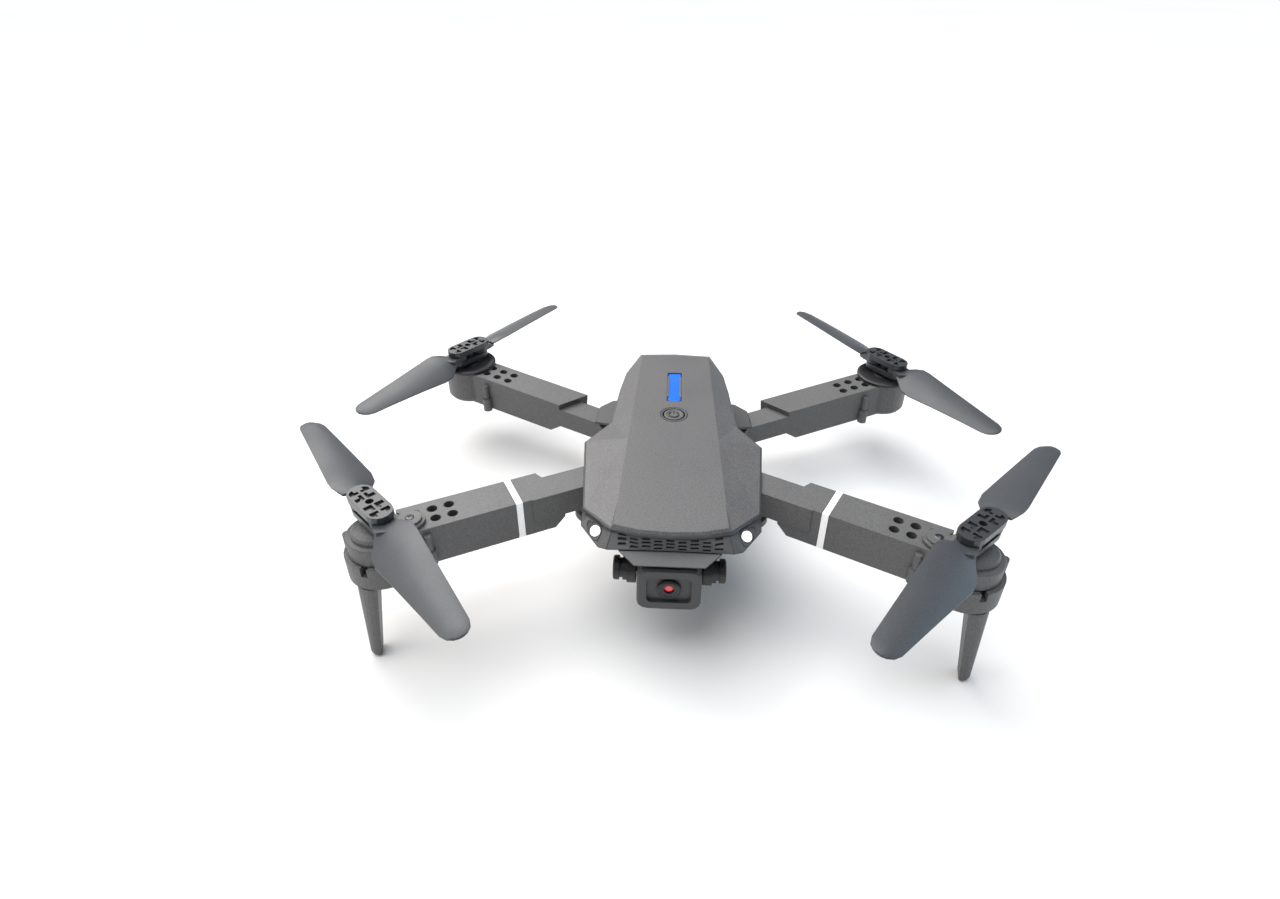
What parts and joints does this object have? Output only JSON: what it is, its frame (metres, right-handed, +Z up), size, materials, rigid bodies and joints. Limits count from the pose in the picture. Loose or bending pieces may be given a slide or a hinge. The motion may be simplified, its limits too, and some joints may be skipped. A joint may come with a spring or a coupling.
{
  "type": "foldable quadcopter drone",
  "caption": "Foldable camera quadcopter: faceted fuselage, hinged perforated box arms, clamped folding propellers on geared pods, tilting nose camera, sliding tail battery.",
  "frame": {"origin": "bottom centre of the bounding box with the arms unfolded; the feet and tail skids stand on z = 0", "axes": "+Z up, nose towards -Y, left and right halves mirrored across X = 0 (the left-hand names are the +X side)"},
  "size_m": [0.2754, 0.2386, 0.058],
  "materials": {
    "shell": "speckled warm grey moulded plastic",
    "arm": "speckled grey moulded plastic",
    "blade": "smooth dark slate plastic",
    "dark": "satin black plastic",
    "white": "gloss white",
    "blue": "translucent blue",
    "red": "coated lens",
    "metal": "drawn steel",
    "board": "green laminate",
    "gear": "natural nylon",
    "battery": "black wrap"
  },
  "bodies": {
    "battery": {"battery_end_cap": "shell", "battery_pack": "battery"},
    "battery_latch": {"battery_latch": "dark"},
    "hull": {"button_switch": "dark", "chin_cover": "shell", "circuit_board": "board", "gimbal_drum_left": "dark", "gimbal_drum_right": "dark", "headlight_left": "white", "headlight_right": "white", "lower_shell": "shell", "nose_grille": "shell", "status_light": "blue", "top_cover": "shell"},
    "camera": {"camera_block": "arm", "camera_lens_barrel": "dark", "camera_lens_glass": "red"},
    "front_left_arm": {"front_left_arm": "arm", "front_left_arm_band": "white", "front_left_gear_cover": "arm", "front_left_landing_leg": "arm", "front_left_motor": "metal"},
    "front_left_blade_a": {"front_left_blade_a": "blade"},
    "front_left_blade_b": {"front_left_blade_b": "blade"},
    "front_left_propeller": {"front_left_hub_plate_lower": "dark", "front_left_hub_plate_upper": "dark", "front_left_main_gear": "gear"},
    "front_left_pinion": {"front_left_pinion": "metal"},
    "front_right_arm": {"front_right_arm": "arm", "front_right_arm_band": "white", "front_right_gear_cover": "arm", "front_right_landing_leg": "arm", "front_right_motor": "metal"},
    "front_right_blade_a": {"front_right_blade_a": "blade"},
    "front_right_blade_b": {"front_right_blade_b": "blade"},
    "front_right_propeller": {"front_right_hub_plate_lower": "dark", "front_right_hub_plate_upper": "dark", "front_right_main_gear": "gear"},
    "front_right_pinion": {"front_right_pinion": "metal"},
    "power_button": {"power_button": "dark"},
    "rear_left_arm": {"rear_left_arm": "arm", "rear_left_gear_cover": "dark", "rear_left_motor": "metal"},
    "rear_left_blade_a": {"rear_left_blade_a": "blade"},
    "rear_left_blade_b": {"rear_left_blade_b": "blade"},
    "rear_left_propeller": {"rear_left_hub_plate_lower": "dark", "rear_left_hub_plate_upper": "dark", "rear_left_main_gear": "gear"},
    "rear_left_pinion": {"rear_left_pinion": "metal"},
    "rear_right_arm": {"rear_right_arm": "arm", "rear_right_gear_cover": "dark", "rear_right_motor": "metal"},
    "rear_right_blade_a": {"rear_right_blade_a": "blade"},
    "rear_right_blade_b": {"rear_right_blade_b": "blade"},
    "rear_right_propeller": {"rear_right_hub_plate_lower": "dark", "rear_right_hub_plate_upper": "dark", "rear_right_main_gear": "gear"},
    "rear_right_pinion": {"rear_right_pinion": "metal"}
  },
  "joints": [
    {"name": "front_left_arm_fold", "type": "hinge", "parent": "hull", "child": "front_left_arm", "pos_m": [0.0285, -0.033, 0.038], "axis": [0, 0, 1], "range_deg": [0, 116]},
    {"name": "front_right_arm_fold", "type": "hinge", "parent": "hull", "child": "front_right_arm", "pos_m": [-0.0285, -0.033, 0.038], "axis": [0, 0, -1], "range_deg": [0, 116]},
    {"name": "rear_left_arm_fold", "type": "hinge", "parent": "hull", "child": "rear_left_arm", "pos_m": [0.0275, 0.0316, 0.0238], "axis": [-0.829, 0.5592, 0], "range_deg": [0, 180]},
    {"name": "rear_right_arm_fold", "type": "hinge", "parent": "hull", "child": "rear_right_arm", "pos_m": [-0.0275, 0.0316, 0.0238], "axis": [-0.829, -0.5592, 0], "range_deg": [0, 180]},
    {"name": "front_left_prop_spin", "type": "hinge", "parent": "front_left_arm", "child": "front_left_propeller", "pos_m": [0.095, -0.0686, 0.058], "axis": [0, 0, 1], "continuous": true},
    {"name": "front_left_pinion_spin", "type": "hinge", "parent": "front_left_arm", "child": "front_left_pinion", "pos_m": [0.08549, -0.06348, 0.058], "axis": [0, 0, 1], "continuous": true},
    {"name": "front_left_blade_a_fold", "type": "hinge", "parent": "front_left_propeller", "child": "front_left_blade_a", "pos_m": [0.09952, -0.06436, 0.058], "axis": [0, 0, 1], "range_deg": [-60, 85]},
    {"name": "front_left_blade_b_fold", "type": "hinge", "parent": "front_left_propeller", "child": "front_left_blade_b", "pos_m": [0.09048, -0.07284, 0.058], "axis": [0, 0, -1], "range_deg": [-60, 85]},
    {"name": "front_right_prop_spin", "type": "hinge", "parent": "front_right_arm", "child": "front_right_propeller", "pos_m": [-0.095, -0.0686, 0.058], "axis": [0, 0, 1], "continuous": true},
    {"name": "front_right_pinion_spin", "type": "hinge", "parent": "front_right_arm", "child": "front_right_pinion", "pos_m": [-0.08549, -0.06348, 0.058], "axis": [0, 0, 1], "continuous": true},
    {"name": "front_right_blade_a_fold", "type": "hinge", "parent": "front_right_propeller", "child": "front_right_blade_a", "pos_m": [-0.09952, -0.06436, 0.058], "axis": [0, 0, -1], "range_deg": [-60, 85]},
    {"name": "front_right_blade_b_fold", "type": "hinge", "parent": "front_right_propeller", "child": "front_right_blade_b", "pos_m": [-0.09048, -0.07284, 0.058], "axis": [0, 0, 1], "range_deg": [-60, 85]},
    {"name": "rear_left_prop_spin", "type": "hinge", "parent": "rear_left_arm", "child": "rear_left_propeller", "pos_m": [0.0965, 0.0629, 0.0467], "axis": [0, 0, 1], "continuous": true},
    {"name": "rear_left_pinion_spin", "type": "hinge", "parent": "rear_left_arm", "child": "rear_left_pinion", "pos_m": [0.08649, 0.05885, 0.0467], "axis": [0, 0, 1], "continuous": true},
    {"name": "rear_left_blade_a_fold", "type": "hinge", "parent": "rear_left_propeller", "child": "rear_left_blade_a", "pos_m": [0.10027, 0.05797, 0.0467], "axis": [0, 0, -1], "range_deg": [-60, 85]},
    {"name": "rear_left_blade_b_fold", "type": "hinge", "parent": "rear_left_propeller", "child": "rear_left_blade_b", "pos_m": [0.09273, 0.06782, 0.0467], "axis": [0, 0, 1], "range_deg": [-60, 85]},
    {"name": "rear_right_prop_spin", "type": "hinge", "parent": "rear_right_arm", "child": "rear_right_propeller", "pos_m": [-0.0965, 0.0629, 0.0467], "axis": [0, 0, 1], "continuous": true},
    {"name": "rear_right_pinion_spin", "type": "hinge", "parent": "rear_right_arm", "child": "rear_right_pinion", "pos_m": [-0.08649, 0.05885, 0.0467], "axis": [0, 0, 1], "continuous": true},
    {"name": "rear_right_blade_a_fold", "type": "hinge", "parent": "rear_right_propeller", "child": "rear_right_blade_a", "pos_m": [-0.10027, 0.05797, 0.0467], "axis": [0, 0, 1], "range_deg": [-60, 85]},
    {"name": "rear_right_blade_b_fold", "type": "hinge", "parent": "rear_right_propeller", "child": "rear_right_blade_b", "pos_m": [-0.09273, 0.06782, 0.0467], "axis": [0, 0, -1], "range_deg": [-60, 85]},
    {"name": "camera_tilt", "type": "hinge", "parent": "hull", "child": "camera", "pos_m": [0, -0.0661, 0.0317], "axis": [1, 0, 0], "range_deg": [0, 60]},
    {"name": "power_button_press", "type": "slide", "parent": "hull", "child": "power_button", "axis": [0, 0, -1], "range_m": [0, 0.0006], "stiffness_N_per_m": 300, "springref_m": -0.0004},
    {"name": "battery_slide", "type": "slide", "parent": "hull", "child": "battery", "axis": [0, 1, 0], "range_m": [0, 0.075]},
    {"name": "battery_latch_press", "type": "slide", "parent": "battery", "child": "battery_latch", "axis": [0, 0, -1], "range_m": [0, 0.001], "stiffness_N_per_m": 400, "springref_m": -0.0005}
  ],
  "couplings": [
    {"joint": "rear_left_arm_fold", "follows": "front_left_arm_fold", "ratio": 1.55},
    {"joint": "rear_right_arm_fold", "follows": "front_right_arm_fold", "ratio": 1.55},
    {"joint": "front_left_pinion_spin", "follows": "front_left_prop_spin", "ratio": -4},
    {"joint": "front_right_pinion_spin", "follows": "front_right_prop_spin", "ratio": -4},
    {"joint": "rear_left_pinion_spin", "follows": "rear_left_prop_spin", "ratio": -4},
    {"joint": "rear_right_pinion_spin", "follows": "rear_right_prop_spin", "ratio": -4}
  ]
}
